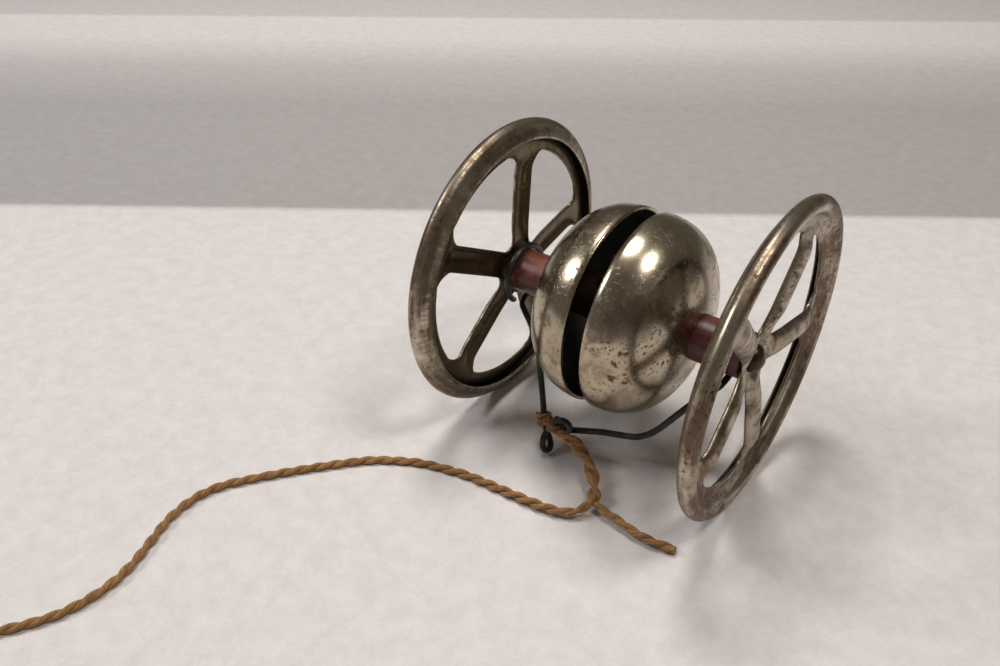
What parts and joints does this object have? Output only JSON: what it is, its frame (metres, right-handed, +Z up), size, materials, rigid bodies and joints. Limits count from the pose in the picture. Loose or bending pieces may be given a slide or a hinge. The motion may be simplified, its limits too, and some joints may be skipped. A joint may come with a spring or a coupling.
{
  "type": "chime pull toy",
  "caption": "Two-wheeled chime pull toy: facing nickel gongs on a red wooden axle between spoked wheels, loose strikers inside, wire arms and a twine cord.",
  "frame": {"origin": "on the floor below the middle of the axle", "axes": "+X along the axle to the right wheel, +Y to the back, +Z up; the pull cord leaves to the front, -Y"},
  "size_m": [0.1592, 0.2763, 0.1016],
  "materials": {
    "nickel": "worn polish",
    "red_wood": "worn paint",
    "bare_wood": "matte",
    "nail_iron": "satin",
    "dark_iron": "satin",
    "black_wire": "satin",
    "twine": "matte"
  },
  "bodies": {
    "pull_arms": {"left_pull_wire": "black_wire", "right_pull_wire": "black_wire", "left_lashing": "twine", "right_lashing": "twine", "lashing_link": "twine", "pull_cord": "twine", "cord_tail": "twine", "pull_cord_coil": "twine", "cord_end_knot": "twine"},
    "roller": {"axle": "red_wood", "left_wheel": "nickel", "right_wheel": "nickel", "left_hub_nail": "nail_iron", "right_hub_nail": "nail_iron", "left_gong": "nickel", "right_gong": "nickel", "striker_collar": "bare_wood", "collar_brad": "dark_iron", "left_star_plate": "dark_iron", "right_star_plate": "dark_iron", "star_rivet_1": "dark_iron", "star_rivet_2": "dark_iron", "star_rivet_3": "dark_iron"},
    "striker_1": {"striker_arm_1": "dark_iron", "striker_head_1": "dark_iron"},
    "striker_2": {"striker_arm_2": "dark_iron", "striker_head_2": "dark_iron"},
    "striker_3": {"striker_arm_3": "dark_iron", "striker_head_3": "dark_iron"}
  },
  "joints": [
    {"name": "wheel_roll", "type": "hinge", "parent": "pull_arms", "child": "roller", "pos_m": [0, 0, 0.0508], "axis": [1, 0, 0], "continuous": true},
    {"name": "striker_1_swing", "type": "hinge", "parent": "roller", "child": "striker_1", "pos_m": [0, 0, 0.03635], "axis": [-1, 0, 0], "range_deg": [0, 88.8]},
    {"name": "striker_2_swing", "type": "hinge", "parent": "roller", "child": "striker_2", "pos_m": [0, 0.01251, 0.05803], "axis": [1, 0, 0], "range_deg": [0, 88.8]},
    {"name": "striker_3_swing", "type": "hinge", "parent": "roller", "child": "striker_3", "pos_m": [0, -0.01251, 0.05803], "axis": [1, 0, 0], "range_deg": [0, 88.8]}
  ]
}
